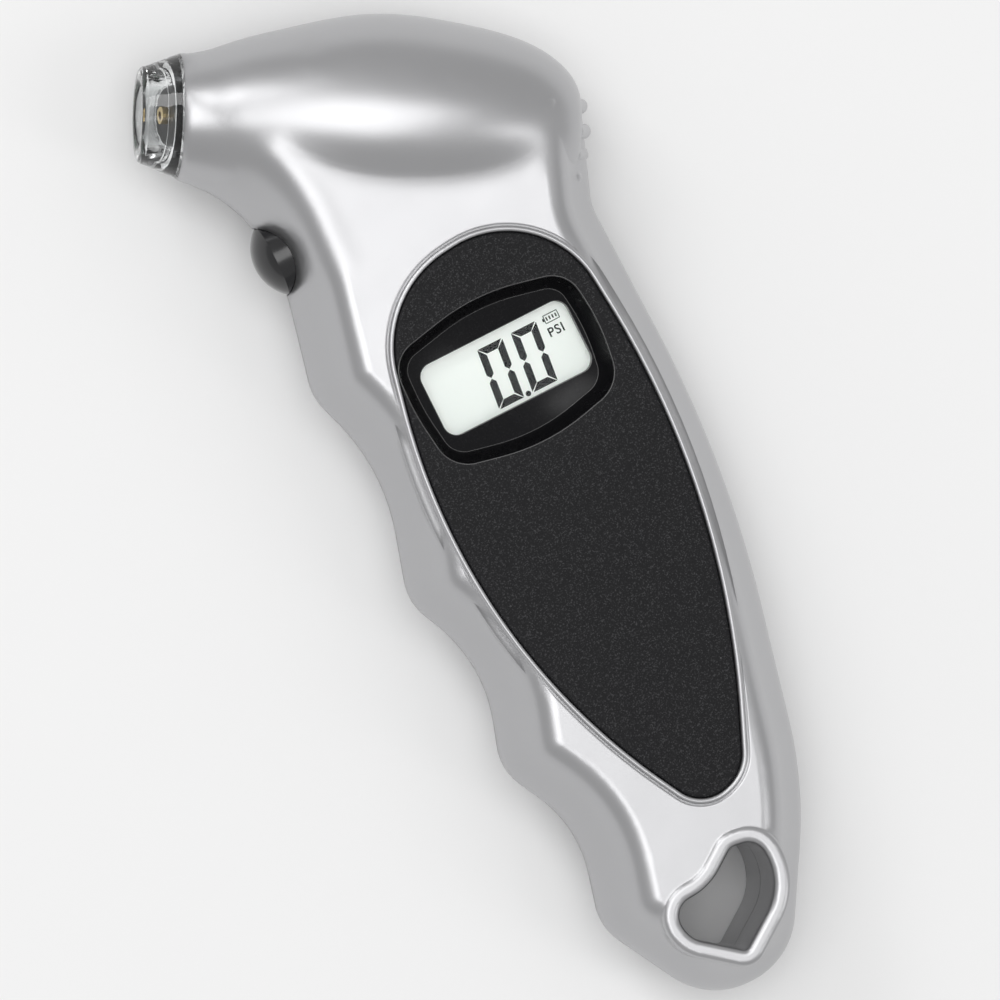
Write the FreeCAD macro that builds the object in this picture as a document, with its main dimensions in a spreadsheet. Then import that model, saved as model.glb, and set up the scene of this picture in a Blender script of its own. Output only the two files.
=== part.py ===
"""Digital tire pressure gauge: a pistol-shaped housing that lies on its back with the display up.

X runs to the right of the display, Y along the handle towards the head, Z out of the display.
The back plateau is the plane Z = 0.
"""
import FreeCAD, Part
import math
import os
import re

import Sketcher
from FreeCAD import Rotation, Vector

os.makedirs("parts", exist_ok=True)
doc = FreeCAD.newDocument("TirePressureGauge")

# ---------------------------------------------------------------- driving sizes, millimetres and degrees
SIZES = {
    # housing
    "mid_height": 12.5,         # back plateau to the parting plane
    "front_rise": 12.0,         # parting plane to the front plateau
    "wall": 2.0,
    "head_wall": 2.6,
    "rim_lift": 0.35,           # rims stand this far above the plateau
    "fit": 0.05,                # fixed pieces in their seats
    "slip": 0.1,                # sliding pieces in their guides
    "gap": 0.3,                 # pieces that must never touch
    # nozzle: its axis lies in the parting plane, nozzle_turn degrees above -X
    "seam_x": -22.6,
    "seam_y": 69.5,
    "nozzle_turn": 28.0,
    "seam_radius": 8.9,
    "neck_radius": 7.6,
    "neck_length": 5.0,
    "flange_radius": 8.3,
    "flange_length": 1.5,
    "tip_reach": 5.75,
    "mouth_radius": 7.0,        # outer radius of the clear tip at its mouth
    "bore_radius": 4.5,         # takes a tire valve stem
    "bore_depth": 5.25,
    "relief_length": 1.0,       # the bore's slightly wider inner end, round the pin
    "seal_radius": 5.2,
    "seal_length": 3.0,
    "pin_radius": 1.3,
    "pin_reach": 1.4,           # how far the valve pin stands out of the seam plane
    "fitting_flange": 1.4,
    "tail_radius": 1.6,
    "tail_length": 8.0,
    "air_hole": 0.6,
    "collar_radius": 5.5,
    "collar_length": 3.6,
    "led_board_radius": 7.8,
    "led_board_thick": 1.0,
    "tube_radius": 2.5,
    # button and its switch
    "button_y": 45.0,
    "button_radius": 5.35,
    "button_face": -19.85,
    "dome_rise": 2.6,
    "button_length": 4.65,
    "button_flange": 6.3,
    "button_flange_thick": 1.2,
    "switch_side": 6.0,
    "switch_depth": 3.5,
    "plunger_radius": 1.75,
    "plunger_length": 1.6,
    "plunger_gap": 0.35,
    # display
    "display_x": 2.3,
    "display_y": 16.75,
    "view_width": 23.5,
    "view_height": 11.0,
    "view_corner": 2.0,
    "panel_depth": 2.0,
    "dish_floor": 3.6,          # below the plateau
    "dish_wall": 1.2,
    "window_thick": 1.0,
    "glass_width": 27.0,
    "glass_height": 15.4,
    "glass_thick": 2.2,
    "backlight_thick": 1.7,
    # main board
    "board_x": 1.25,
    "board_width": 25.0,
    "board_low": -10.0,
    "board_high": 37.5,
    "board_level": 13.0,
    "board_thick": 1.6,
    "board_screw": 0.95,
    "board_boss": 2.5,
    # cells
    "cell_radius": 5.8,
    "cell_length": 5.4,
    "cell_x": 0.4,
    "cell_y": -20.5,
    "coin_radius": 10.0,
    "coin_thick": 3.2,
    "coin_y": -38.3,
    "door_thick": 1.2,
    "ledge": 1.2,
    "bay_roof": 14.2,
    "coin_roof": 5.4,
    "sheet_metal": 0.35,
    # screws
    "screw_radius": 1.1,
    "screw_head": 2.3,
    "screw_sink": 4.2,
    "screw_length": 14.2,
    "boss_radius": 3.2,
    # thumb ribs and lanyard hole
    "rib_radius": 1.1,
    "rib_length": 5.0,
    "heart_rim": 2.4,
}
sheet = doc.addObject("Spreadsheet::Sheet", "Sizes")
for row, (name, number) in enumerate(SIZES.items(), 1):
    sheet.set(f"A{row}", name)
    sheet.set(f"B{row}", str(number))
    sheet.setAlias(f"B{row}", name)
doc.recompute()


def size(name):
    """The number the spreadsheet holds under this name."""
    return float(sheet.get(name))


def rule(text):
    """A formula on size names, as an expression on the spreadsheet."""
    return re.sub(r"[a-z]+(?:_[a-z]+)*", lambda m: f"Sizes.{m[0]}" if m[0] in SIZES else m[0], str(text))


# ---------------------------------------------------------------- document helpers
NODES = []
ALONG = {
    "x": Rotation(Vector(0, 0, 1), Vector(1, 0, 0)),
    "y": Rotation(Vector(0, 0, 1), Vector(0, 1, 0)),
    "z": Rotation(),
}
INWARD = Vector(math.cos(math.radians(size("nozzle_turn"))), -math.sin(math.radians(size("nozzle_turn"))), 0)
ACROSS = Vector(-INWARD.y, INWARD.x, 0)
ALONG["nozzle"] = Rotation(Vector(0, 0, 1), INWARD)


def solid(kind, name, place, axis="z", **sizes):
    """A Part primitive whose sizes and place are formulas on the sheet."""
    item = doc.addObject(f"Part::{kind}", name)
    for prop, text in sizes.items():
        item.setExpression(prop, rule(text))
    item.Placement = FreeCAD.Placement(Vector(), ALONG[axis])
    for letter, text in zip("xyz", place):
        item.setExpression(f"Placement.Base.{letter}", rule(text))
    return item


def block(name, centre, spans, low):
    """A box centred on centre in X and Y, spans = (x, y, z), standing on the level low."""
    place = (f"({centre[0]}) - ({spans[0]}) / 2", f"({centre[1]}) - ({spans[1]}) / 2", low)
    return solid("Box", name, place, Length=spans[0], Width=spans[1], Height=spans[2])


def rod(name, place, radius, length, axis="z"):
    return solid("Cylinder", name, place, axis, Radius=radius, Height=length)


def on_axis(depth):
    """The point of the nozzle axis this deep behind the seam plane, as formulas."""
    return (f"seam_x + ({depth}) * cos(nozzle_turn)", f"seam_y - ({depth}) * sin(nozzle_turn)", "mid_height")


def fuse(name, items):
    item = doc.addObject("Part::MultiFuse", name)
    item.Shapes = items
    return item


def cut(name, base, tools):
    """base less each of the tools in turn."""
    for step, tool in enumerate(tools, 1):
        item = doc.addObject("Part::Cut", name if step == len(tools) else f"{name}_{step}")
        item.Base = base
        item.Tool = tool
        base = item
    return base


def common(name, first, second):
    item = doc.addObject("Part::MultiCommon", name)
    item.Shapes = [first, second]
    return item


def group(name, items):
    item = doc.addObject("Part::Compound", name)
    item.Links = items
    return item


def feature(name, shape):
    item = doc.addObject("Part::Feature", name)
    item.Shape = shape
    item.Placement = FreeCAD.Placement()
    return item


def node(label, item):
    """Names a finished sub-part."""
    item.Label = label
    NODES.append(item)
    return item


# ---------------------------------------------------------------- outlines with rounded corners
LEAST_RADIUS = 0.8


def outline(corners, level, inset=0.0):
    """A closed wire of straight edges and tangent arcs. A corner is (x, y, radius); inset moves
    every edge into the outline."""
    points = [Vector(x, y, 0) for x, y, _ in corners]
    count = len(points)
    edges_along = [(points[(i + 1) % count] - points[i]).normalize() for i in range(count)]
    area = sum(points[i - 1].cross(points[i]).z for i in range(count))
    turn = math.copysign(1, area)
    arcs = []
    for i, (_, _, radius) in enumerate(corners):
        before, after = edges_along[i - 1], edges_along[i]
        inside = Vector(-before.y, before.x, 0) * turn + Vector(-after.y, after.x, 0) * turn
        tip = points[i] + inside * (inset / (1 + before.dot(after)))
        outward_corner = turn * before.cross(after).z > 0
        bend = max(radius - inset if outward_corner else radius + inset, LEAST_RADIUS)
        half = before.getAngle(after) / 2
        reach = bend * math.tan(half)
        centre = tip + (after - before).normalize() * (bend / math.cos(half))
        middle = centre - (after - before).normalize() * bend
        arcs.append((tip - before * reach, middle, tip + after * reach))
    edges = []
    for i, (start, middle, end) in enumerate(arcs):
        edges.append(Part.Arc(start, middle, end).toShape())
        edges.append(Part.LineSegment(end, arcs[(i + 1) % count][0]).toShape())
    wire = Part.Wire(edges)
    wire.translate(Vector(0, 0, level))
    return wire


def prism(corners, low, high, inset=0.0):
    return Part.Face(outline(corners, low, inset)).extrude(Vector(0, 0, high - low))


def stack(corners, sections):
    """A solid through insets of one outline; sections are (level, inset)."""
    return Part.makeLoft([outline(corners, level, inset) for level, inset in sections], True, False)


def pill(width, height, radius, grow=0.0):
    """The corners of a rounded rectangle about the display's centre."""
    half_x, half_y = size(width) / 2 + grow, size(height) / 2 + grow
    return [(size("display_x") + a * half_x, size("display_y") + b * half_y, radius)
            for a, b in ((-1, -1), (1, -1), (1, 1), (-1, 1))]


# The housing's outline on the parting plane, from the nozzle's underside down the finger side, round the
# lanyard end and up the palm side. A corner is (x, y, radius).
FINGER_SIDE = [
    (-19.95, 40.0, 20), (-23.4, 25.0, 8), (-18.8, 11.3, 30), (-24.3, -7.2, 8), (-18.4, -20.0, 22),
    (-23.2, -34.7, 8), (-16.8, -46.8, 18), (-20.5, -61.3, 8),
]
PALM_SIDE = [
    (-11.2, -78.1, 11), (2.1, -78.1, 11), (15.2, -56.3, 60), (25.9, -10.1, 170), (24.9, 31.5, 8),
    (31.2, 48.2, 6), (26.0, 57.0, 8),
]
LOW_SHOULDER = [(-33.3, 68.5, 2), (-19.6, 53.6, 20)]
HIGH_SHOULDER = [(-20.9, 62.6, 8.5), (-19.4, 50.6, 30)]
LOW_CROWN = (-14.0, 71.0, 6)
HIGH_CROWN = (-8.3, 70.8, 9)
# The flank: (share of the rise, inset, share of the way from the low shoulder to the high one).
FLANK = [(0.0, 0.0, 0.0), (0.35, 1.6, 0.0), (0.70, 3.9, 0.60), (0.875, 5.0, 0.85), (0.965, 6.2, 0.92),
         (1.0, 7.8, 1.0)]
# The head is a soft cone about the nozzle axis: (depth, towards the crown, towards the fingers, front, back).
HEAD = [
    (0.0, 8.9, 8.9, 8.9, 8.9), (8.0, 10.9, 11.0, 10.9, 10.7), (16.0, 13.1, 12.6, 13.0, 12.0),
    (24.0, 14.9, 13.4, 14.5, 12.5), (32.0, 15.3, 13.4, 15.0, 12.5), (40.0, 14.3, 13.0, 14.6, 12.5),
    (47.0, 12.8, 12.4, 13.4, 12.2), (52.0, 10.8, 11.4, 11.6, 11.0), (55.5, 8.2, 9.5, 9.0, 8.8),
    (57.3, 5.4, 7.0, 6.0, 6.0),
]
SECTION_POINTS = 16
SEAM = Vector(size("seam_x"), size("seam_y"), size("mid_height"))


def mix(low, high, share):
    return tuple(a + (b - a) * share for a, b in zip(low, high))


def handle_form(skin):
    """The handle, or with a skin its cavity, as one loft from the back plateau to the front one."""
    rise, drop = size("front_rise"), size("mid_height")
    steps = [(-share * (drop - skin), inset, lean) for share, inset, lean in reversed(FLANK)]
    steps += [(share * (rise - skin), inset, lean) for share, inset, lean in FLANK[1:]]
    wires = []
    for height, inset, lean in steps:
        shoulder = [mix(a, b, lean) for a, b in zip(LOW_SHOULDER, HIGH_SHOULDER)]
        corners = shoulder + FINGER_SIDE + PALM_SIDE + [mix(LOW_CROWN, HIGH_CROWN, lean)]
        wires.append(outline(corners, size("mid_height") + height, inset + skin))
    return Part.makeLoft(wires, True, False)


def head_form(skin, first, last):
    """The head between two depths, or with a skin its cavity."""
    wires = []
    for depth, crown, finger, front, back in HEAD:
        if depth and not first <= depth <= last:
            continue
        centre = SEAM + INWARD * max(depth, first)
        ring = []
        for step in range(SECTION_POINTS):
            angle = 2 * math.pi * step / SECTION_POINTS
            side = (crown if math.cos(angle) > 0 else finger) - skin
            rise = (front if math.sin(angle) > 0 else back) - skin
            ring.append(centre + ACROSS * (side * math.cos(angle)) + Vector(0, 0, rise * math.sin(angle)))
        curve = Part.BSplineCurve()
        curve.interpolate(ring, PeriodicFlag=True)
        wires.append(Part.Wire([curve.toShape()]))
    return Part.makeLoft(wires, True, False)


def beyond_seam(depth):
    """Everything outside the plane this deep behind the seam."""
    slab = Part.makeBox(60, 60, 40, Vector(-30, -30, 0))
    slab.Placement = FreeCAD.Placement(SEAM + INWARD * depth, Rotation(Vector(0, 0, 1), INWARD * -1))
    return slab


# ---------------------------------------------------------------- housing
REACH = 200
HEAD_HOLLOW_END = 53
form = feature("housing_form", handle_form(0).fuse(head_form(0, 0, 60)).cut(beyond_seam(0)))
handle_hollow = feature("handle_hollow", handle_form(size("wall")).cut(beyond_seam(size("neck_length"))))
head_hollow = feature("head_hollow", head_form(size("head_wall"), size("neck_length"), HEAD_HOLLOW_END))
front_space = block("front_space", (0, 0), (REACH, REACH, REACH), "mid_height")
back_space = block("back_space", (0, 0), (REACH, REACH, "mid_height"), "0")
plateau = size("mid_height") + size("front_rise")


def half(name, space):
    """One half of the hollow housing."""
    open_handle = cut(f"{name}_handle", common(f"{name}_form", form, space), [handle_hollow])
    return cut(f"{name}_walls", open_handle, [head_hollow])

# The front panel lies in a pocket of the plateau, behind a rounded lip and a fine groove.
PANEL = [(-10.0, 34.2, 15.8), (17.2, 37.1, 14.4), (21.9, -13.1, 125), (6.3, -49.7, 6.3), (-1.0, -51.6, 5.2),
         (-20.9, -15.4, 92)]
DISH = [(-12.3, 25.2, 4.5), (2.3, 28.2, 30), (15.6, 25.2, 4.5), (16.6, 16.7, 30), (15.3, 7.7, 5),
        (2.3, 4.7, 30), (-11.4, 7.7, 5), (-12.6, 16.7, 30)]
HEART = [(-11.1, -67.4, 4.2), (-11.7, -62.3, 2.8), (-5.3, -62.1, 9.5), (-0.1, -58.4, 1.8), (3.8, -59.0, 2.7),
         (4.5, -66.3, 8.4), (-4.6, -72.6, 0.8)]
DOOR = [(-12.0, -12.5, 2.5), (13.0, -12.5, 2.5), (12.0, -38.0, 10), (6.5, -54.5, 5), (-6.0, -54.5, 5),
        (-11.3, -38.0, 10)]
LIP_WIDTH = 0.75
GROOVE_WIDTH = 0.3
TRAY_MARGIN = 2.0
EDGE_ROUND = 0.35
DISH_LEAN = 1.6
DISH_OVERLAP = 0.8              # the dish's wall runs this far up into the panel
RIM_ROUND = 0.8
ROUND_STEPS = (0.0, 0.3, 0.6, 0.85, 1.0)
INSIDE = 0.02                   # a cutter starts this far inside the space it widens


def round_off(radius):
    """A quarter round as (rise, inset) steps."""
    return [(radius * math.sin(step * math.pi / 2), radius * (1 - math.cos(step * math.pi / 2)))
            for step in ROUND_STEPS]


def rounded_prism(corners, low, high, radius, inset=0.0):
    """A prism whose top edge is rounded."""
    cap = stack(corners, [(high - radius + rise, inset + more) for rise, more in round_off(radius)])
    return prism(corners, low, high - radius, inset).fuse(cap)


def lip_ring():
    """The raised lip round the panel."""
    low, high = plateau - size("panel_depth"), plateau + size("rim_lift")
    inner = -size("slip")
    ring = rounded_prism(PANEL, low, high, EDGE_ROUND, inner - LIP_WIDTH)
    flare = [(high - EDGE_ROUND + rise, inner - more) for rise, more in round_off(EDGE_ROUND)]
    return ring.cut(prism(PANEL, low, high - EDGE_ROUND + 0.01, inner).fuse(stack(PANEL, flare)))


def lip_groove():
    """The fine groove outside the lip."""
    inner = -size("slip") - LIP_WIDTH
    return prism(PANEL, plateau - GROOVE_WIDTH, plateau + 1, inner - GROOVE_WIDTH).cut(
        prism(PANEL, plateau - GROOVE_WIDTH, plateau + 1, inner))


def lanyard_ring():
    """The wall round the lanyard hole, its front rim and both mouths of the hole rounded."""
    top = plateau + size("rim_lift")
    ring = rounded_prism(HEART, 0, top, RIM_ROUND, -size("heart_rim"))
    ring = ring.cut(prism(HEART, -1, top + 1))
    for way, mouth in ((1, top), (-1, 0)):
        flare = [(mouth - way * (RIM_ROUND - rise), INSIDE - more) for rise, more in round_off(RIM_ROUND)]
        flare.append((mouth + way * 0.5, -RIM_ROUND))
        ring = ring.cut(stack(HEART, flare))
    return ring


def rib(x, y, way):
    """One thumb rib, leaning with the flank from the parting plane to the front (way 1) or the back (-1)."""
    normal = Vector(0.936, -0.353, 0)
    foot = Vector(x, y, size("mid_height")) - normal * size("rib_radius")
    lean = math.atan2(1.6, 4.2)
    along = normal * -math.sin(lean) + Vector(0, 0, way * math.cos(lean))
    body = Part.makeCylinder(size("rib_radius"), size("rib_length"), foot, along)
    return body.fuse(Part.makeSphere(size("rib_radius"), foot + along * size("rib_length")))


RIB_TIPS = [(30.9, 44.5), (29.7, 41.1), (27.9, 38.3), (26.4, 35.4)]
panel_floor = plateau - size("panel_depth")
ring_seat = -size("heart_rim") / 2
heart_space = feature("lanyard_space", prism(HEART, -1, plateau + 5, ring_seat))
heart_body = feature("lanyard_ring", lanyard_ring())
front_ribs = feature("front_thumb_ribs", Part.makeCompound([rib(x, y, 1) for x, y in RIB_TIPS]))
back_ribs = feature("back_thumb_ribs", Part.makeCompound([rib(x, y, -1) for x, y in RIB_TIPS]))
tray = feature("panel_tray", prism(PANEL, panel_floor - size("wall"), panel_floor + 0.5, -TRAY_MARGIN))
panel_pocket = feature("panel_pocket", prism(PANEL, panel_floor, plateau + 5, -size("slip")))
dish_window = feature(
    "dish_window", prism(DISH, panel_floor - 5, panel_floor + 1, -size("dish_wall") - size("slip")))
groove = feature("lip_groove", lip_groove())
lip = feature("panel_lip", lip_ring())

HOUSING_SCREWS = [(16.0, 57.0), (-2.9, 68.0), (-15.5, -7.2), (17.5, -8.0), (-9.5, -55.0)]
BOARD_SCREWS = [(-8.8, -6.8), (11.2, -6.8), (-8.8, 34.4), (11.2, 34.4)]
button_place = ("button_face + dome_rise", "button_y", "mid_height")
board_top = "board_level + board_thick"
screw_foot = "screw_sink + 1.7"

button_bore = rod("button_bore", ("button_face - 5", "button_y", "mid_height"),
                  "button_radius + slip", "button_length + 6", "x")
button_guide = rod("button_guide", ("button_face - 1", "button_y", "mid_height"), "button_radius + wall",
                   "button_length - gap + 1", "x")
button_well = rod("button_well", ("button_face + button_length - gap", "button_y", "mid_height"),
                  "button_flange + gap + slip", "button_flange_thick + gap + 3", "x")
neck_bore = rod("neck_bore", on_axis("-1"), "neck_radius + fit", "neck_length + 1", "nozzle")
flange_space = rod("flange_space", on_axis("neck_length"), "flange_radius + slip",
                   "flange_length + 0.6", "nozzle")
bosses = [rod(f"boss_{i}", (x, y, "0.5"), "boss_radius + 0.4", "mid_height + front_rise - 1.5")
          for i, (x, y) in enumerate(HOUSING_SCREWS, 1)]
board_bosses = [rod(f"board_boss_{i}", (x, y, board_top), "board_boss",
                    f"mid_height + front_rise - panel_depth - ({board_top}) - 0.5")
                for i, (x, y) in enumerate(BOARD_SCREWS, 1)]
pilots = [rod(f"pilot_{i}", (x, y, "mid_height - 1"), "screw_radius + 0.02",
              f"{screw_foot} + screw_length - mid_height + 1.5")
          for i, (x, y) in enumerate(HOUSING_SCREWS, 1)]
board_pilots = [rod(f"board_pilot_{i}", (x, y, "board_level"), "board_screw + 0.02", "board_thick + 5")
                for i, (x, y) in enumerate(BOARD_SCREWS, 1)]

supports = common("inner_supports", fuse("support_set", bosses + [button_guide]), form)
front_supports = common("front_supports", supports, front_space)
front_half = fuse("front_half", [half("front", front_space), front_supports])
heart_front = common("heart_front", heart_body, front_space)
front_rib_set = common("front_rib_set", front_ribs, front_space)
front_set = fuse("front_set", [front_half, tray, lip, front_rib_set] + board_bosses)
front_open = cut("front_open", front_set,
                 [panel_pocket, dish_window, groove, button_bore, button_well, neck_bore, flange_space,
                  group("pilot_set", pilots), group("board_pilot_set", board_pilots), heart_space])
node("front_shell", fuse("front_housing", [front_open, heart_front]))

back_supports = common("back_supports", supports, back_space)
back_half = fuse("back_half", [half("back", back_space), back_supports])
heart_back = common("heart_back", heart_body, back_space)
door_recess = feature("door_recess", prism(DOOR, -1, size("door_thick") + size("fit"), -size("slip")))
bay_low = feature("bay_low", prism(DOOR, 0.5, size("coin_roof") + 1.5, -0.8))
coin_hollow = feature("coin_hollow", prism(DOOR, -1, size("coin_roof"), size("ledge")))
bay_high = block("bay_high", ("cell_x", "cell_y"), ("26.2", "15.4", "bay_roof + 1"), "0.6")
cell_hollow = block("cell_hollow", ("cell_x", "cell_y"), ("22.6", "13", "bay_roof + 1"), "-1")
divider = block("divider", ("cell_x", "cell_y - 7.1"), ("20.6", "1.2", "coin_roof"), "door_thick + gap")
clears = [rod(f"clear_{i}", (x, y, "-1"), "screw_radius + 0.3", "mid_height + 2")
          for i, (x, y) in enumerate(HOUSING_SCREWS, 1)]
sinks = [rod(f"sink_{i}", (x, y, "-1"), "screw_head + 0.3", f"{screw_foot} + 1")
         for i, (x, y) in enumerate(HOUSING_SCREWS, 1)]
door_screw_y = -51.4
door_boss = rod("door_boss", ("cell_x", door_screw_y, "door_thick + fit"), "2.3", "5.5")
door_pilot = rod("door_pilot", ("cell_x", door_screw_y, "-1"), "board_screw + 0.02", "7.2")
tongue_slots = [block(f"tongue_slot_{i}", (x, "-12.2"), ("4.4", "4", "1.3"), "wall - 0.1")
                for i, x in enumerate((-6, 7), 1)]
riser_slots = [block(f"riser_slot_{i}", (x, "-13.3"), ("4.4", "1.2", "3"), "door_thick - 0.2")
               for i, x in enumerate((-6, 7), 1)]
contact_blocks = [
    block("contact_block_right", ("cell_x + 10.2", "cell_y"), ("2.4", "9", "11"), "2"),
    block("contact_block_left", ("cell_x - 10.8", "cell_y"), ("1.2", "9", "11"), "2"),
]
coin_round = rod("coin_round", ("cell_x", "coin_y", "-1"), "coin_radius + slip", "coin_roof + 1")
side_slot = block("side_slot", ("cell_x - coin_radius - 0.3", "coin_y"), ("0.8", "5.4", "coin_roof"),
                  "door_thick")
back_rib_set = common("back_rib_set", back_ribs, back_space)
bay_open = cut("bay_open", fuse("bay_set", [back_half, back_rib_set, bay_low, bay_high]),
               [door_recess, coin_hollow, coin_round, side_slot, cell_hollow])
back_set = fuse("back_set", [bay_open, door_boss, divider] + contact_blocks)
back_open = cut("back_open", back_set,
                [button_bore, button_well, neck_bore, flange_space, door_pilot, group("clear_set", clears),
                 group("sink_set", sinks), group("tongue_slot_set", tongue_slots),
                 group("riser_slot_set", riser_slots), heart_space])
node("back_shell", fuse("back_housing", [back_open, heart_back]))

# ---------------------------------------------------------------- front panel and battery door
panel_plate = feature("panel_plate", rounded_prism(PANEL, panel_floor + size("fit"), plateau, EDGE_ROUND))
dish_low = plateau - size("dish_floor")
dish_boss = feature("dish_boss", prism(DISH, dish_low - size("dish_wall"), panel_floor + DISH_OVERLAP,
                                       -size("dish_wall")))
dish_space = feature("dish_space", stack(DISH, [(dish_low, DISH_LEAN), (dish_low + 1.2, 0.8),
                                                (dish_low + 2.6, 0.25), (plateau + 0.2, -0.25)]))
view = feature("view_opening", prism(pill("view_width", "view_height", size("view_corner")), dish_low - 5,
                                     plateau))
node("front_panel", cut("front_cover", fuse("panel_set", [panel_plate, dish_boss]), [dish_space, view]))

door_plate = feature("door_plate", prism(DOOR, 0, size("door_thick")))
door_clear = rod("door_clear", ("cell_x", door_screw_y, "-1"), "board_screw + 0.2", "5")
door_sink = rod("door_sink", ("cell_x", door_screw_y, "-1"), "2.1", "1.6")
risers = [block(f"riser_{i}", (x, "-13.3"), ("4", "0.8", "wall + 0.45"), "0.5")
          for i, x in enumerate((-6, 7), 1)]
tongues = [block(f"tongue_{i}", (x, "-12.4"), ("4", "2.6", "0.9"), "wall + 0.05")
           for i, x in enumerate((-6, 7), 1)]
node("battery_door", cut("door", fuse("door_set", [door_plate] + risers + tongues), [door_clear, door_sink]))

# ---------------------------------------------------------------- display stack, from the window to the board
window_top = "mid_height + front_rise - dish_floor - dish_wall"
glass_top = f"{window_top} - window_thick - fit"
backlight_top = f"{glass_top} - glass_thick - fit"
centre = ("display_x", "display_y")
node("lcd_window", block("window", centre, ("view_width + 2.5", "view_height + 2.5", "window_thick"),
                         f"{window_top} - window_thick"))
node("lcd_glass", block("glass", centre, ("glass_width", "glass_height", "glass_thick"),
                        f"{glass_top} - glass_thick"))
frame_outer = block("frame_outer", centre, ("glass_width + 2.6", "glass_height + 2.6",
                                            f"{glass_top} - ({board_top}) - 0.4"), board_top)
frame_seat = block("frame_seat", centre, ("glass_width + 0.2", "glass_height + 0.2", "20"),
                   f"{glass_top} - glass_thick - fit")
frame_hole = block("frame_hole", centre, ("glass_width - 1.2", "glass_height - 1", "20"), "mid_height")
node("lcd_frame", cut("display_frame", frame_outer, [frame_seat, frame_hole]))
node("backlight_plate", block("backlight", centre,
                              ("glass_width - 1.6", "glass_height - 6.4", "backlight_thick"),
                              f"{backlight_top} - backlight_thick"))
strip_height = f"{backlight_top} - ({board_top})"
node("zebra_strips", group("strips", [
    block(f"strip_{i}", ("display_x", f"display_y + {way} * (glass_height / 2 - 1.9)"),
          ("glass_width - 2", "2", strip_height), board_top)
    for i, way in enumerate((-1, 1), 1)]))

# ---------------------------------------------------------------- main board and what it carries
def board_plate():
    """The board's blank: a padded rectangle whose four sides are held to the sheet."""
    body = doc.addObject("PartDesign::Body", "board_blank")
    sketch = body.newObject("Sketcher::SketchObject", "board_outline")
    plane = next(item for item in body.Origin.OriginFeatures if item.Role == "XY_Plane")
    sketch.AttachmentSupport = (plane, [""])
    sketch.MapMode = "FlatFace"
    half = size("board_width") / 2
    low, high = Vector(size("board_x") - half, size("board_low"), 0), Vector(
        size("board_x") + half, size("board_high"), 0)
    corners = [low, Vector(high.x, low.y, 0), high, Vector(low.x, high.y, 0)]
    for start, end in zip(corners, corners[1:] + corners[:1]):
        sketch.addGeometry(Part.LineSegment(start, end))
    for i, direction in enumerate(("Horizontal", "Vertical") * 2):
        sketch.addConstraint(Sketcher.Constraint("Coincident", i, 2, (i + 1) % 4, 1))
        sketch.addConstraint(Sketcher.Constraint(direction, i))
    for name, way, line, end, text in (
            ("left", "DistanceX", 0, 1, "board_x - board_width / 2"),
            ("right", "DistanceX", 0, 2, "board_x + board_width / 2"),
            ("foot", "DistanceY", 0, 1, "board_low"),
            ("head", "DistanceY", 1, 2, "board_high")):
        point = corners[0] if (line, end) == (0, 1) else corners[end - 1 + line]
        value = point.x if way == "DistanceX" else point.y
        index = sketch.addConstraint(Sketcher.Constraint(way, -1, 1, line, end, value))
        sketch.renameConstraint(index, name)
        sketch.setExpression(f"Constraints.{name}", rule(text))
    pad = body.newObject("PartDesign::Pad", "board_pad")
    pad.Profile = sketch
    pad.setExpression("Length", rule("board_thick"))
    body.setExpression("Placement.Base.z", rule("board_level"))
    return body


SENSOR = (4.7, 32.0)
SENSOR_SIDE = 8.0
SENSOR_DROP = 4.4
PORT_LEVEL = "board_level - 2.6"
board_holes = [rod(f"board_hole_{i}", (x, y, "board_level - 1"), "board_screw + 0.15", "board_thick + 2")
               for i, (x, y) in enumerate(BOARD_SCREWS, 1)]
node("main_board", cut("circuit_board", board_plate(), board_holes))
node("controller_chip", block("controller", ("display_x", "2.4"), ("7", "7", "1.1"), board_top))
node("crystal_can", rod("crystal", ("-7.7", "-1.5", f"{board_top} + 1.1"), "1.05", "6", "x"))
CHIPS = [(-3.5, -5.0), (0.5, -5.0), (4.5, -5.0), (8.0, -2.0), (8.0, 2.0), (-8.0, 3.5)]
node("small_components", group("components", [
    block(f"component_{i}", (x, y), ("2", "1.2", "0.7"), board_top) for i, (x, y) in enumerate(CHIPS, 1)]))
sensor_case = block("sensor_case", SENSOR, (SENSOR_SIDE, SENSOR_SIDE, SENSOR_DROP),
                    f"board_level - {SENSOR_DROP}")
sensor_port = rod("sensor_port", (SENSOR[0], SENSOR[1] + SENSOR_SIDE / 2 - 0.5, PORT_LEVEL), "tail_radius",
                  "5", "y")
sensor_hole = rod("sensor_hole", (SENSOR[0], SENSOR[1], PORT_LEVEL), "air_hole", "12", "y")
node("pressure_sensor", cut("sensor", fuse("sensor_set", [sensor_case, sensor_port]), [sensor_hole]))
node("board_screws", group("board_fixings", [
    fuse(f"board_screw_{i}", [
        rod(f"board_shank_{i}", (x, y, "board_level - 0.5"), "board_screw", "board_thick + 4.5"),
        rod(f"board_head_{i}", (x, y, "board_level - 1.3"), "1.8", "1.3")])
    for i, (x, y) in enumerate(BOARD_SCREWS, 1)]))

# ---------------------------------------------------------------- nozzle, from the mouth inwards
seal_front = "bore_depth - tip_reach"
seal_back = f"{seal_front} + seal_length"
fitting_back = f"{seal_back} + fit + fitting_flange"
collar_back = f"{fitting_back} + fit + collar_length"


def ring(name, start, radius, length, inner):
    """A ring on the nozzle axis: outer rod less inner rod."""
    core = rod(f"{name}_core", on_axis(f"({start}) - 1"), inner, f"({length}) + 2", "nozzle")
    return cut(name, rod(f"{name}_outer", on_axis(start), radius, length, "nozzle"), [core])


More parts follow.
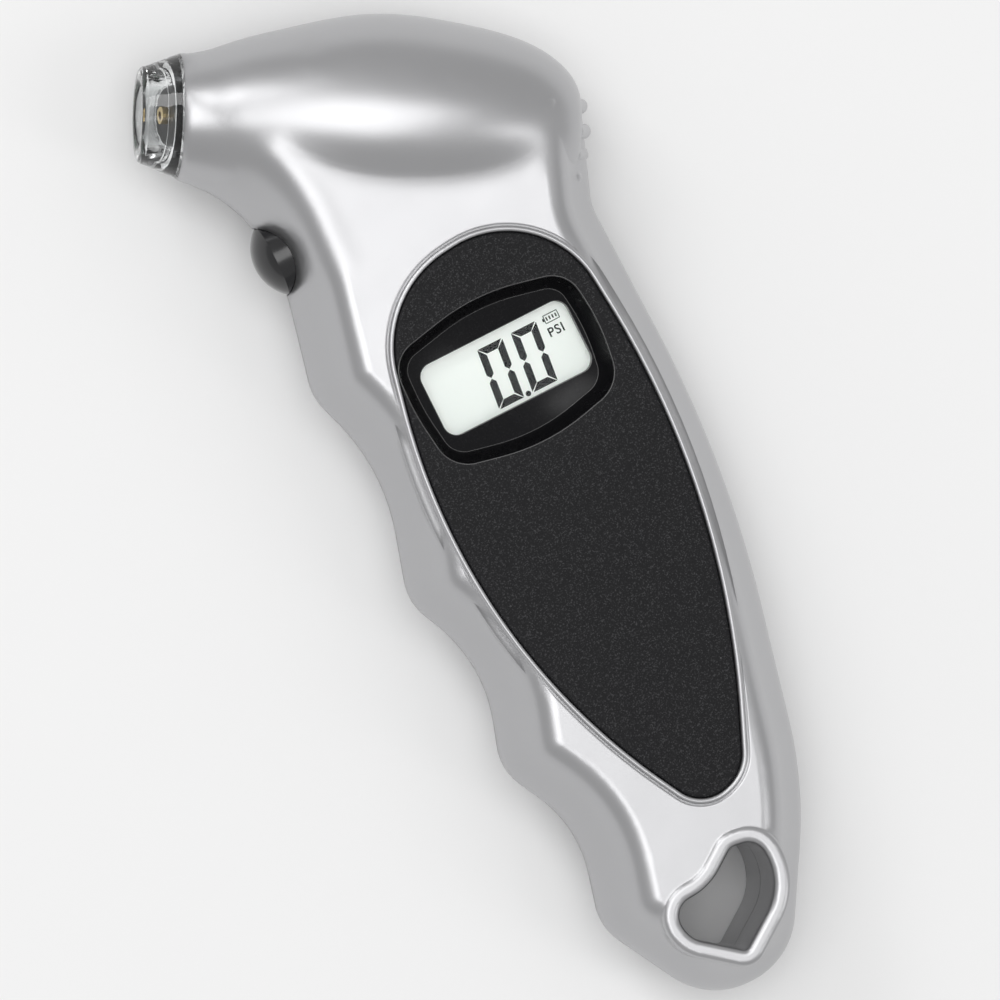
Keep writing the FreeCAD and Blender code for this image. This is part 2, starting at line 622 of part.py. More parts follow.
def clear_tip():
    """The clear nozzle tip: a cone with a round mouth, a neck and a flange, hollow all the way."""
    mouth = -size("tip_reach")
    seat = size("bore_depth") - size("tip_reach")
    end = size("neck_length") + size("flange_length")
    rim = 0.9
    lead = 0.85
    outer = [(mouth + rim, size("mouth_radius")), (0, size("seam_radius")), (0, size("neck_radius")),
             (size("neck_length") + size("fit"), size("neck_radius")),
             (size("neck_length") + size("fit"), size("flange_radius")), (end, size("flange_radius"))]
    seal_end = seat + size("seal_length")
    wide, close = size("collar_radius") + size("fit"), size("seal_radius") + size("fit")
    bore, relief = size("bore_radius"), seat - size("relief_length")
    eased = bore + 0.2
    inner = [(end, wide), (seal_end, wide), (seal_end, close), (seat, close), (seat, eased), (relief, eased),
             (relief, bore), (mouth + rim, bore)]
    place = [SEAM + INWARD * depth + ACROSS * radius for depth, radius in outer + inner]
    edges = [Part.LineSegment(a, b).toShape() for a, b in zip(place, place[1:])]
    top_out = SEAM + INWARD * mouth + ACROSS * (size("mouth_radius") - rim)
    bend_out = SEAM + INWARD * (mouth + rim * 0.293) + ACROSS * (size("mouth_radius") - rim * 0.293)
    top_in = SEAM + INWARD * mouth + ACROSS * (size("bore_radius") + lead)
    bend_in = SEAM + INWARD * (mouth + rim * 0.293) + ACROSS * (size("bore_radius") + lead * 0.293)
    edges.append(Part.Arc(place[-1], bend_in, top_in).toShape())
    edges.append(Part.LineSegment(top_in, top_out).toShape())
    edges.append(Part.Arc(top_out, bend_out, place[0]).toShape())
    return Part.Face(Part.Wire(edges)).revolve(SEAM, INWARD, 360)


node("nozzle_tip", feature("clear_tip", clear_tip()))
seal_disc = rod("seal_disc", on_axis(f"{seal_front} + slip"), "seal_radius", "seal_length - slip", "nozzle")
seal_core = rod("seal_core", on_axis("-3"), "pin_radius + fit", "9", "nozzle")
node("nozzle_seal", cut("seal", seal_disc, [seal_core]))
fitting_pin = rod("fitting_pin", on_axis("-pin_reach"), "pin_radius",
                  f"pin_reach + {seal_back} + 0.5", "nozzle")
fitting_flange = rod("fitting_flange_disc", on_axis(f"{seal_back} + fit"), "seal_radius - 0.2",
                     "fitting_flange", "nozzle")
fitting_tail = rod("fitting_tail", on_axis(fitting_back), "tail_radius", "tail_length", "nozzle")
fitting_air = rod("fitting_air", on_axis("-3"), "air_hole", "20", "nozzle")
node("valve_depressor", cut("fitting", fuse("fitting_set", [fitting_pin, fitting_flange, fitting_tail]),
                            [fitting_air]))
node("nozzle_collar", ring("collar", f"{fitting_back} + fit", "collar_radius", "collar_length",
                           "tail_radius + 0.4"))
node("led_board", ring("led_ring", f"{collar_back} + fit", "led_board_radius", "led_board_thick",
                       "tail_radius + 0.4"))
LED_SIDE = 1.2
led_lamps = []
for i, way in enumerate((-1, 1), 1):
    lamp = solid("Cylinder", f"led_{i}", (
        f"seam_x + ({collar_back} + fit - 0.8) * cos(nozzle_turn) + {way} * 6.8 * sin(nozzle_turn)",
        f"seam_y - ({collar_back} + fit - 0.8) * sin(nozzle_turn) + {way} * 6.8 * cos(nozzle_turn)",
        "mid_height"), "nozzle", Radius=str(LED_SIDE / 2), Height="0.8")
    led_lamps.append(lamp)
node("nozzle_leds", group("led_lamps", led_lamps))


PORT = Vector(SENSOR[0], SENSOR[1] + SENSOR_SIDE / 2 + 0.3, size("board_level") - 2.6)
TUBE_BEND = [Vector(-3.4, 59.3, 12.5), Vector(2.2, 52.8, 11.7), Vector(PORT.x, 45.0, PORT.z)]
ARC_SHARE = 0.45


def smooth_path(route):
    """Straight runs joined by tangent arcs, each as large as its two runs allow."""
    edges, start = [], route[0]
    for before, corner, after in zip(route, route[1:], route[2:]):
        there, onward = (corner - before), (after - corner)
        reach = ARC_SHARE * min(there.Length, onward.Length)
        half = there.getAngle(onward) / 2
        radius = reach / math.tan(half)
        there.normalize()
        onward.normalize()
        entry, leave = corner - there * reach, corner + onward * reach
        middle = corner + (onward - there).normalize() * (radius / math.cos(half) - radius)
        edges += [Part.LineSegment(start, entry).toShape(), Part.Arc(entry, middle, leave).toShape()]
        start = leave
    edges.append(Part.LineSegment(start, route[-1]).toShape())
    return Part.Wire(edges)


def swept(path, radius):
    start = path.Edges[0].valueAt(path.Edges[0].FirstParameter)
    along = path.Edges[0].tangentAt(path.Edges[0].FirstParameter)
    circle = Part.Wire([Part.makeCircle(radius, start, along)])
    return path.makePipeShell([circle], True, False)


def air_tube():
    """The silicone hose from the fitting's tail to the sensor's port."""
    start = size("bore_depth") - size("tip_reach") + size("seal_length") + size("fitting_flange")
    start += size("collar_length") + size("led_board_thick") + 4 * size("fit")
    path = smooth_path([SEAM + INWARD * start] + TUBE_BEND + [PORT])
    outside = swept(path, size("tube_radius"))
    return outside.cut(swept(path, size("tail_radius") + size("fit")))


node("air_tube", feature("hose", air_tube()))

# ---------------------------------------------------------------- button and its switch
dome_radius = "(button_radius ^ 2 + dome_rise ^ 2) / (2 * dome_rise)"
button_back = "button_face + button_length + button_flange_thick"
dome = solid("Sphere", "button_dome", (f"button_face - dome_rise + {dome_radius}", "button_y", "mid_height"),
             Radius=dome_radius)
stem = rod("button_stem", ("button_face - dome_rise - 1", "button_y", "mid_height"), "button_radius",
           "button_length + dome_rise + 1", "x")
flange = rod("button_flange_disc", ("button_face + button_length", "button_y", "mid_height"),
             "button_flange", "button_flange_thick", "x")
node("button_cap", fuse("button", [common("button_head", dome, stem), flange]))

PLUNGER_OUT = 0.8
PLUNGER_TRAVEL = 0.3
plunger_front = f"{button_back} + plunger_gap"
switch_front = f"{plunger_front} + {PLUNGER_OUT}"
switch_back = f"{switch_front} + switch_depth"
node("switch_plunger", rod("plunger", (plunger_front, "button_y", "mid_height"), "plunger_radius",
                           "plunger_length", "x"))
switch_case = block("switch_case", (f"{switch_front} + switch_depth / 2", "button_y"),
                    ("switch_depth", "switch_side", "switch_side"), "mid_height - switch_side / 2")
well_depth = f"plunger_length - {PLUNGER_OUT} + {PLUNGER_TRAVEL} + gap"
plunger_well = rod("plunger_well", (f"{switch_front} - 1", "button_y", "mid_height"),
                   "plunger_radius + slip", f"1 + {well_depth}", "x")
node("switch_body", cut("switch", switch_case, [plunger_well]))
SWITCH_BOARD = {"thick": 1.2, "width": 12.0, "low": 6.0, "high": 19.0}
board_middle = f"{switch_back} + {SWITCH_BOARD['thick'] / 2}"
node("switch_board", block("switch_plate", (board_middle, "button_y"),
                           (SWITCH_BOARD["thick"], SWITCH_BOARD["width"],
                            SWITCH_BOARD["high"] - SWITCH_BOARD["low"]), SWITCH_BOARD["low"]))

# ---------------------------------------------------------------- cells, contacts and screws
cell_level = "door_thick + 0.4 + cell_radius"
CELL_STEP = 0.02
cells = []
for i in (-1.5, -0.5, 0.5):
    number = int(i + 2.5)
    end = f"cell_x + {i} * (cell_length + {CELL_STEP})"
    can = rod(f"cell_can_{number}", (f"{end} + 0.3", "cell_y", cell_level), "cell_radius",
              "cell_length - 0.3", "x")
    face = rod(f"cell_face_{number}", (end, "cell_y", cell_level), "cell_radius - 1", "0.4", "x")
    cells.append(fuse(f"cell_{number}", [can, face]))
node("button_cells", group("cell_row", cells))
coin_low = "door_thick + 0.4"
node("coin_cell", fuse("coin", [
    rod("coin_can", ("cell_x", "coin_y", coin_low), "coin_radius", "coin_thick - 0.3"),
    rod("coin_face", ("cell_x", "coin_y", f"{coin_low} + coin_thick - 0.4"), "coin_radius - 1.1", "0.4")]))
right_plate = block("right_plate", ("cell_x + 9 - sheet_metal / 2", "cell_y"), ("sheet_metal", "8", "10"),
                    "2.2")
right_bump = solid("Cone", "right_bump", ("cell_x + 9 - sheet_metal", "cell_y", cell_level), "x",
                   Radius1="2.2", Radius2="1.2", Height="0.4")
right_bump.Placement.Rotation = Rotation(Vector(0, 0, 1), Vector(-1, 0, 0))
node("cell_contact_positive", fuse("right_contact", [right_plate, right_bump]))


def coil(start, radius, length, turns, wire):
    """A small coil spring along +X."""
    helix = Part.makeHelix(length / turns, length, radius)
    circle = Part.Wire([Part.makeCircle(wire, Vector(radius, 0, 0), Vector(0, 1, 0))])
    spring = helix.makePipeShell([circle], True, True)
    return spring.transformed(FreeCAD.Placement(start, ALONG["x"]).toMatrix(), True)


SPRING_WIRE = 0.25
left_plate = block("left_plate", ("cell_x - 10.2 + sheet_metal / 2", "cell_y"),
                   ("sheet_metal", "8", "10"), "2.2")
plate_face = size("cell_x") - 10.2 + size("sheet_metal")
spring_space = size("cell_x") - 1.5 * (size("cell_length") + CELL_STEP) - plate_face
spring_start = Vector(plate_face + 0.8 * SPRING_WIRE, size("cell_y"),
                      size("door_thick") + 0.4 + size("cell_radius"))
spring = feature("cell_spring", coil(spring_start, 2.6, spring_space - 2 * SPRING_WIRE - 0.05, 1.75,
                                     SPRING_WIRE))
node("cell_contact_negative", fuse("left_contact", [left_plate, spring]))
node("coin_contact_top", block("coin_strip", ("cell_x", "coin_y"), ("4", "12", "sheet_metal"),
                               f"{coin_low} + coin_thick + 0.05"))
node("coin_contact_side", block("coin_side_strip", ("cell_x - coin_radius - 0.22", "coin_y"),
                                ("0.3", "5", "3.4"), coin_low))
node("housing_screws", group("housing_fixings", [
    fuse(f"housing_screw_{i}", [
        rod(f"screw_shank_{i}", (x, y, f"{screw_foot} - 0.4"), "screw_radius", "screw_length + 0.4"),
        rod(f"screw_head_{i}", (x, y, "screw_sink"), "screw_head", "1.7")])
    for i, (x, y) in enumerate(HOUSING_SCREWS, 1)]))
node("battery_door_screw", fuse("door_fixing", [
    rod("door_shank", ("cell_x", door_screw_y, "0.3"), "board_screw", "5.6"),
    rod("door_head", ("cell_x", door_screw_y, "0.05"), "1.9", "0.55")]))

# ---------------------------------------------------------------- checks and export
doc.recompute()
for item in doc.Objects:
    if {"Invalid", "Error"} & set(item.State):
        raise SystemExit(f"{item.Name} is {item.State}")
for item in NODES:
    if item.Shape.isNull() or not item.Shape.isValid() or not item.Shape.Solids:
        raise SystemExit(f"{item.Label} has no valid shape")
for item in NODES:
    item.Shape.exportStep(f"parts/{item.Label}.step")
    box = item.Shape.optimalBoundingBox(False)
    print(f"{item.Label:24s} solids {len(item.Shape.Solids)} volume {item.Shape.Volume:9.1f}"
          f"  x {box.XMin:6.1f} {box.XMax:6.1f}  y {box.YMin:6.1f} {box.YMax:6.1f}"
          f"  z {box.ZMin:5.1f} {box.ZMax:5.1f}")
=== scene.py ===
import math

import bpy
from mathutils import Matrix, Vector


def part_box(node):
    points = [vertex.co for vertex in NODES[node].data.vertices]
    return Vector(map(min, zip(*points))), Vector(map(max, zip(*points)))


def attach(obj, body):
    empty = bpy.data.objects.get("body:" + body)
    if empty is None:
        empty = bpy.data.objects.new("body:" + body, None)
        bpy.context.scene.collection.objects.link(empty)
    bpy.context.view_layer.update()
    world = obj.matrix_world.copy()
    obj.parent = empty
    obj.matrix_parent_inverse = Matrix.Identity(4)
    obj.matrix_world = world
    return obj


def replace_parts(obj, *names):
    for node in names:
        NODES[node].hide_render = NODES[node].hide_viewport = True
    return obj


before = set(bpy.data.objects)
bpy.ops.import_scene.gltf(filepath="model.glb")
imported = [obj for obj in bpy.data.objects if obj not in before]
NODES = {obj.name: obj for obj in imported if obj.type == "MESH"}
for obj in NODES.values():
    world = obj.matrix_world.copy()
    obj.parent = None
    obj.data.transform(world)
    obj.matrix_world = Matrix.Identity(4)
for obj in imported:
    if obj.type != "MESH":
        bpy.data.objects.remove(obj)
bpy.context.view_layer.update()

bl_info = {
    "name": "Tire Pressure Gauge",
    "version": (1, 0, 0),
    "blender": (4, 5, 0),
    "location": "View3D > Sidebar > Gauge",
    "description": "Builds a digital tire pressure gauge around its packed frame",
    "category": "Add Mesh",
}

MM = 0.001
GLASS_LOW, GLASS_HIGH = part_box("lcd_glass")
PANEL_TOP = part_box("front_panel")[1].z
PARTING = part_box("front_shell")[0].z
SCREW_LOW, SCREW_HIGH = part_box("housing_screws")
DOOR_SCREW_LOW, DOOR_SCREW_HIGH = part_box("battery_door_screw")
SLIVER = 0.01 * MM                  # tolerance when faces and edges are picked by their place


# ---------------------------------------------------------------- settings
class GaugeFinish(bpy.types.PropertyGroup):
    """Colours and surface values of the gauge's materials."""

    silver: bpy.props.FloatVectorProperty(
        name="Silver", description="Colour of the silver coating", subtype="COLOR", size=3,
        default=(0.46, 0.46, 0.47), min=0, max=1)
    silver_roughness: bpy.props.FloatProperty(
        name="Silver roughness", description="Roughness of the silver coating", default=0.33, min=0, max=1)
    crease_radius: bpy.props.FloatProperty(
        name="Crease radius", description="How widely the crease between head and handle is rounded",
        default=4.5 * MM, min=0, unit="LENGTH")
    panel: bpy.props.FloatVectorProperty(
        name="Panel", description="Colour of the grained front panel", subtype="COLOR", size=3,
        default=(0.006, 0.006, 0.007), min=0, max=1)
    grain_size: bpy.props.FloatProperty(
        name="Grain size", description="Size of the panel's moulded grain", default=0.20 * MM, min=0,
        unit="LENGTH")
    display: bpy.props.FloatVectorProperty(
        name="Display", description="Colour of the display's reflector", subtype="COLOR", size=3,
        default=(0.80, 0.84, 0.80), min=0, max=1)
    brass: bpy.props.FloatVectorProperty(
        name="Brass", description="Colour of the turned brass", subtype="COLOR", size=3,
        default=(0.80, 0.60, 0.28), min=0, max=1)


class GaugeSizes(bpy.types.PropertyGroup):
    """Sizes of the pieces added to the frame."""

    digit_width: bpy.props.FloatProperty(
        name="Digit width", description="Width of a seven-segment digit", default=4.0 * MM, unit="LENGTH")
    digit_height: bpy.props.FloatProperty(
        name="Digit height", description="Height of a seven-segment digit", default=9.0 * MM, unit="LENGTH")
    segment_width: bpy.props.FloatProperty(
        name="Segment width", description="Width of one bar of a digit", default=1.08 * MM, unit="LENGTH")
    ink: bpy.props.FloatProperty(
        name="Ink thickness", description="Thickness of the printed display marks", default=0.03 * MM,
        unit="LENGTH")
    screw_head: bpy.props.FloatProperty(
        name="Screw head", description="Radius of a housing screw's head", default=2.3 * MM, unit="LENGTH")
    screw_shank: bpy.props.FloatProperty(
        name="Screw shank", description="Radius of a housing screw's shank", default=1.1 * MM, unit="LENGTH")


def finish():
    return bpy.context.scene.gauge_finish


def sizes():
    return bpy.context.scene.gauge_sizes


# ---------------------------------------------------------------- shader node groups
def new_group(name, inputs, outputs):
    """An empty shader node group with float, colour or vector sockets, and its two end nodes."""
    group = bpy.data.node_groups.new(name, "ShaderNodeTree")
    for label, kind, value in inputs:
        socket = group.interface.new_socket(name=label, in_out="INPUT", socket_type=kind)
        if value is not None:
            socket.default_value = value
    for label, kind in outputs:
        group.interface.new_socket(name=label, in_out="OUTPUT", socket_type=kind)
    return group, group.nodes.new("NodeGroupInput"), group.nodes.new("NodeGroupOutput")


def math_node(tree, operation, first, second=0.0, clamp=False):
    """A math node on sockets or numbers, and its output."""
    node = tree.nodes.new("ShaderNodeMath")
    node.operation = operation
    node.use_clamp = clamp
    for slot, value in zip(node.inputs, (first, second)):
        if isinstance(value, (int, float)):
            slot.default_value = value
        else:
            tree.links.new(value, slot)
    return node.outputs[0]


def grain_group():
    """Noise at a size in metres, as a height."""
    group, start, end = new_group(
        "FineGrain", [("Vector", "NodeSocketVector", None), ("Size", "NodeSocketFloat", 0.001),
                      ("Detail", "NodeSocketFloat", 2.0)], [("Height", "NodeSocketFloat")])
    noise = group.nodes.new("ShaderNodeTexNoise")
    group.links.new(start.outputs["Vector"], noise.inputs["Vector"])
    group.links.new(math_node(group, "DIVIDE", 1.0, start.outputs["Size"]), noise.inputs["Scale"])
    group.links.new(start.outputs["Detail"], noise.inputs["Detail"])
    group.links.new(noise.outputs["Fac"], end.inputs["Height"])
    return group


def tone_group():
    """A colour that wanders gently over the surface, and a roughness that goes with it."""
    group, start, end = new_group(
        "ToneDrift", [("Vector", "NodeSocketVector", None), ("Colour", "NodeSocketColor", None),
                      ("Amount", "NodeSocketFloat", 0.05), ("Size", "NodeSocketFloat", 0.01),
                      ("Roughness", "NodeSocketFloat", 0.4), ("Roughness Amount", "NodeSocketFloat", 0.05)],
        [("Colour", "NodeSocketColor"), ("Roughness", "NodeSocketFloat")])
    noise = group.nodes.new("ShaderNodeTexNoise")
    noise.inputs["Detail"].default_value = 3
    group.links.new(start.outputs["Vector"], noise.inputs["Vector"])
    group.links.new(math_node(group, "DIVIDE", 1.0, start.outputs["Size"]), noise.inputs["Scale"])
    swing = math_node(group, "MULTIPLY", math_node(group, "SUBTRACT", noise.outputs["Fac"], 0.5), 2.0)
    bright = math_node(group, "ADD", math_node(group, "MULTIPLY", swing, start.outputs["Amount"]), 1.0)
    scale = group.nodes.new("ShaderNodeVectorMath")
    scale.operation = "SCALE"
    group.links.new(start.outputs["Colour"], scale.inputs[0])
    group.links.new(bright, scale.inputs["Scale"])
    group.links.new(scale.outputs[0], end.inputs["Colour"])
    rough = math_node(group, "MULTIPLY", swing, start.outputs["Roughness Amount"])
    group.links.new(math_node(group, "ADD", rough, start.outputs["Roughness"], clamp=True),
                    end.inputs["Roughness"])
    return group


def dust_group():
    """A sparse mask of dust specks."""
    group, start, end = new_group(
        "DustSpecks", [("Vector", "NodeSocketVector", None), ("Size", "NodeSocketFloat", 0.001),
                       ("Share", "NodeSocketFloat", 0.1)], [("Mask", "NodeSocketFloat")])
    cells = group.nodes.new("ShaderNodeTexVoronoi")
    group.links.new(start.outputs["Vector"], cells.inputs["Vector"])
    group.links.new(math_node(group, "DIVIDE", 1.0, start.outputs["Size"]), cells.inputs["Scale"])
    speck = math_node(group, "LESS_THAN", cells.outputs["Distance"], start.outputs["Share"])
    group.links.new(speck, end.inputs["Mask"])
    return group


def line_group():
    """A narrow band about a level of one coordinate: 1 on the line, 0 away from it."""
    group, start, end = new_group(
        "PartingLine", [("Value", "NodeSocketFloat", 0.0), ("Level", "NodeSocketFloat", 0.0),
                        ("Width", "NodeSocketFloat", 0.0001)], [("Mask", "NodeSocketFloat")])
    away = math_node(group, "ABSOLUTE", math_node(group, "SUBTRACT", start.outputs["Value"],
                                                  start.outputs["Level"]))
    near = math_node(group, "SUBTRACT", 1.0, math_node(group, "DIVIDE", away, start.outputs["Width"]), True)
    group.links.new(near, end.inputs["Mask"])
    return group


def step_group():
    """A smooth step of one coordinate from 0 at Low to 1 at High."""
    group, start, end = new_group(
        "SoftStep", [("Value", "NodeSocketFloat", 0.0), ("Low", "NodeSocketFloat", 0.0),
                     ("High", "NodeSocketFloat", 1.0)], [("Mask", "NodeSocketFloat")])
    ramp = group.nodes.new("ShaderNodeMapRange")
    ramp.interpolation_type = "SMOOTHSTEP"
    for label, slot in (("Value", "Value"), ("Low", "From Min"), ("High", "From Max")):
        group.links.new(start.outputs[label], ramp.inputs[slot])
    group.links.new(ramp.outputs["Result"], end.inputs["Mask"])
    return group


GROUPS = {}


def build_groups():
    for name, maker in (("grain", grain_group), ("tone", tone_group), ("dust", dust_group),
                        ("line", line_group), ("step", step_group)):
        GROUPS[name] = maker()


class Maker:
    """One material: its Principled shader, the object's coordinates, and short ways to add nodes."""

    def __init__(self, name, colour, roughness, drift=0.04, drift_size=6 * MM, rough_drift=0.04, **constants):
        self.material = bpy.data.materials.new(name)
        self.material.use_nodes = True
        self.tree = self.material.node_tree
        self.shader = self.tree.nodes["Principled BSDF"]
        self.place = self.tree.nodes.new("ShaderNodeTexCoord").outputs["Object"]
        self.material.diffuse_color = (*colour[:3], 1)
        for label, value in constants.items():
            self.shader.inputs[label.replace("_", " ")].default_value = value
        tone = self.group("tone", Colour=(*colour[:3], 1), Amount=drift, Size=drift_size, Roughness=roughness,
                          Roughness_Amount=rough_drift)
        self.colour = tone.outputs["Colour"]
        self.roughness = tone.outputs["Roughness"]
        self.normal = None

    def group(self, name, **values):
        """A node group placed in this material; Vector is the object's coordinates."""
        node = self.tree.nodes.new("ShaderNodeGroup")
        node.node_tree = GROUPS[name]
        if "Vector" in node.inputs:
            self.tree.links.new(self.place, node.inputs["Vector"])
        for label, value in values.items():
            slot = node.inputs[label.replace("_", " ")]
            if isinstance(value, bpy.types.NodeSocket):
                self.tree.links.new(value, slot)
            else:
                slot.default_value = value
        return node

    def step(self, value, low, high):
        """A mask that rises smoothly from 0 to 1 as a value goes from low to high."""
        return self.group("step", Value=value, Low=low, High=high).outputs["Mask"]

    def grain(self, size, detail=1.0):
        """The height of fine noise of this size."""
        return self.group("grain", Size=size, Detail=detail).outputs["Height"]

    def dust(self, size, share):
        """A mask of sparse specks."""
        return self.group("dust", Size=size, Share=share).outputs["Mask"]

    def axis(self, letter):
        """One coordinate of the object."""
        split = self.tree.nodes.new("ShaderNodeSeparateXYZ")
        self.tree.links.new(self.place, split.inputs[0])
        return split.outputs[letter]

    def sum(self, operation, first, second=0.0, clamp=False):
        return math_node(self.tree, operation, first, second, clamp)

    def blend(self, mask, other):
        """Mixes the base colour towards another colour where mask is 1."""
        mix = self.tree.nodes.new("ShaderNodeMix")
        mix.data_type = "RGBA"
        self.tree.links.new(mask, mix.inputs["Factor"])
        self.tree.links.new(self.colour, mix.inputs["A"])
        if isinstance(other, bpy.types.NodeSocket):
            self.tree.links.new(other, mix.inputs["B"])
        else:
            mix.inputs["B"].default_value = (*other[:3], 1)
        self.colour = mix.outputs["Result"]

    def rougher(self, mask, amount):
        self.roughness = self.sum("ADD", self.roughness, self.sum("MULTIPLY", mask, amount), True)

    def bump(self, height, distance):
        node = self.tree.nodes.new("ShaderNodeBump")
        node.inputs["Distance"].default_value = distance
        self.tree.links.new(height, node.inputs["Height"])
        if self.normal is not None:
            self.tree.links.new(self.normal, node.inputs["Normal"])
        self.normal = node.outputs["Normal"]

    def done(self):
        self.tree.links.new(self.colour, self.shader.inputs["Base Color"])
        self.tree.links.new(self.roughness, self.shader.inputs["Roughness"])
        if self.normal is not None:
            self.tree.links.new(self.normal, self.shader.inputs["Normal"])
        return self.material


# ---------------------------------------------------------------- materials
BOWL_SLOPE = 0.55                   # steepness of the display's surround at its edge
BOWL_REACH = (15 * MM, 9 * MM)      # from the display's middle to that edge, across and along
HEAD_BAND = (37.5 * MM, 42 * MM)    # along Y, where the rounding of the head's crease begins
RIBS_BAND = (22 * MM, 25.5 * MM)    # along X, where it ends at the thumb ribs
NOZZLE_BAND = (-17.5 * MM, -21 * MM)  # along X, where it ends at the nozzle
SHOULDER_DROP = 0.25 * MM           # below the panel's top, where the handle's shoulder begins
DISH_DROP = (0.02 * MM, 0.35 * MM)  # below the panel's top, where the smooth dish begins


def soft_edges(maker, radius):
    """The surface's direction with its edges rounded over."""
    node = maker.tree.nodes.new("ShaderNodeBevel")
    node.samples = 8
    node.inputs["Radius"].default_value = radius
    return node.outputs["Normal"]


def mixed_normal(maker, mask, first, second):
    mix = maker.tree.nodes.new("ShaderNodeMix")
    mix.data_type = "VECTOR"
    maker.tree.links.new(mask, mix.inputs["Factor"])
    maker.tree.links.new(first, mix.inputs[4])
    maker.tree.links.new(second, mix.inputs[5])
    return mix.outputs[1]


def dished(maker):
    """The direction of a shallow bowl about the display, deepest at its middle."""
    middle = (GLASS_LOW + GLASS_HIGH) / 2
    height = 0.0
    for letter, level, reach in zip("XY", middle, BOWL_REACH):
        away = maker.sum("SUBTRACT", maker.axis(letter), level)
        part = maker.sum("MULTIPLY", maker.sum("MULTIPLY", away, away), BOWL_SLOPE / 2 / reach)
        height = maker.sum("ADD", part, height)
    bump = maker.tree.nodes.new("ShaderNodeBump")
    bump.inputs["Distance"].default_value = 1.0
    maker.tree.links.new(height, bump.inputs["Height"])
    return bump.outputs["Normal"]


def painted_edge_highlight(maker):
    """A mask of the painted highlight line along sharp edges, where the rounded direction leaves the flat
    one.
    """
    flat = maker.tree.nodes.new("ShaderNodeNewGeometry").outputs["Normal"]
    compare = maker.tree.nodes.new("ShaderNodeVectorMath")
    compare.operation = "DOT_PRODUCT"
    maker.tree.links.new(flat, compare.inputs[0])
    maker.tree.links.new(soft_edges(maker, 0.22 * MM), compare.inputs[1])
    return maker.step(compare.outputs["Value"], 0.985, 0.93)


def silver_coating(name, crease):
    """Satin silver coating on moulded plastic, with the fine line where the two halves meet."""
    maker = Maker(name, finish().silver, finish().silver_roughness, drift=0.03, drift_size=14 * MM,
                  rough_drift=0.05, Metallic=0.88, Coat_Weight=0.15, Coat_Roughness=0.28)
    if crease:
        head = maker.step(maker.axis("Y"), *HEAD_BAND)
        ribs = maker.step(maker.axis("X"), *RIBS_BAND)
        nozzle = maker.step(maker.axis("X"), *NOZZLE_BAND)
        flank = maker.step(maker.axis("Z"), PANEL_TOP, PANEL_TOP - SHOULDER_DROP)
        smooth = maker.sum("SUBTRACT", 1.0, ribs)
        shoulder = maker.sum("MULTIPLY", flank, smooth)
        wide = maker.sum("MULTIPLY", maker.sum("MULTIPLY", head, smooth), maker.sum("SUBTRACT", 1.0, nozzle))
        normal = soft_edges(maker, 0.4 * MM)
        for mask, radius in ((shoulder, 1.8 * MM), (wide, finish().crease_radius)):
            normal = mixed_normal(maker, mask, normal, soft_edges(maker, radius))
        maker.normal = normal
    seam = maker.group("line", Value=maker.axis("Z"), Level=PARTING, Width=0.12 * MM).outputs["Mask"]
    maker.blend(seam, (0.12, 0.12, 0.12))
    flake = maker.grain(0.09 * MM)
    ripple = maker.grain(9 * MM)
    maker.bump(flake, 0.004 * MM)
    maker.bump(ripple, 0.05 * MM)
    maker.bump(seam, -0.12 * MM)
    maker.rougher(maker.dust(5.5 * MM, 0.016), 0.2)
    return maker.done()


def grained_panel(name, dish):
    """Black moulded plastic with a fine grain, smooth inside the dish round the display."""
    maker = Maker(name, finish().panel, 0.48, drift=0.10, drift_size=3 * MM, rough_drift=0.06,
                  Specular_IOR_Level=0.16)
    maker.normal = soft_edges(maker, 0.4 * MM)
    height = maker.grain(finish().grain_size, 2.5)
    speckle = maker.step(height, 0.5, 0.75)
    if dish:
        smooth = maker.step(maker.axis("Z"), PANEL_TOP - DISH_DROP[0], PANEL_TOP - DISH_DROP[1])
        keep = maker.sum("SUBTRACT", 1.0, maker.sum("MULTIPLY", smooth, 0.85))
        height = maker.sum("MULTIPLY", maker.sum("SUBTRACT", height, 0.5), keep)
        maker.rougher(smooth, -0.22)
        speckle = maker.sum("MULTIPLY", speckle, keep)
    maker.blend(maker.sum("MULTIPLY", speckle, 0.8), (0.06, 0.06, 0.063))
    # Painted highlight: a pale grey line along every sharp edge, standing in for light caught by the rounded
    # rims.
    maker.blend(painted_edge_highlight(maker), (0.22, 0.22, 0.22))
    maker.bump(height, 0.07 * MM)
    if dish:
        maker.normal = mixed_normal(maker, smooth, maker.normal, dished(maker))
    maker.blend(maker.sum("MULTIPLY", maker.dust(3.2 * MM, 0.03), 0.25), (0.25, 0.25, 0.25))
    return maker.done()


def clear_plastic(name):
    """Clear moulded plastic with faint flow marks, for the nozzle."""
    maker = Maker(name, (0.96, 0.975, 0.975), 0.03, drift=0.01, rough_drift=0.015, Transmission_Weight=1.0,
                  IOR=1.49)
    maker.bump(maker.grain(1.6 * MM), 0.03 * MM)
    return maker.done()


def window_plastic(name):
    """The display's thin clear window."""
    maker = Maker(name, (0.98, 0.985, 0.985), 0.02, drift=0.01, rough_drift=0.01, Transmission_Weight=1.0,
                  IOR=1.2)
    maker.bump(maker.grain(12 * MM), 0.004 * MM)
    return maker.done()


def display_cell(name):
    """The reflective liquid crystal cell: pale, a little greyer at its foot, with a faint painted glow."""
    maker = Maker(name, finish().display, 0.35, drift=0.015, drift_size=9 * MM)
    foot = maker.step(maker.axis("Y"), GLASS_HIGH.y, GLASS_LOW.y)
    maker.blend(maker.sum("MULTIPLY", foot, 0.35), (0.62, 0.68, 0.64))
    # Painted glow: the cell gives off a little of its own colour to look brighter, though it is no lamp.
    maker.shader.inputs["Emission Strength"].default_value = 0.30
    maker.tree.links.new(maker.colour, maker.shader.inputs["Emission Color"])
    maker.bump(maker.grain(0.12 * MM), 0.003 * MM)
    return maker.done()


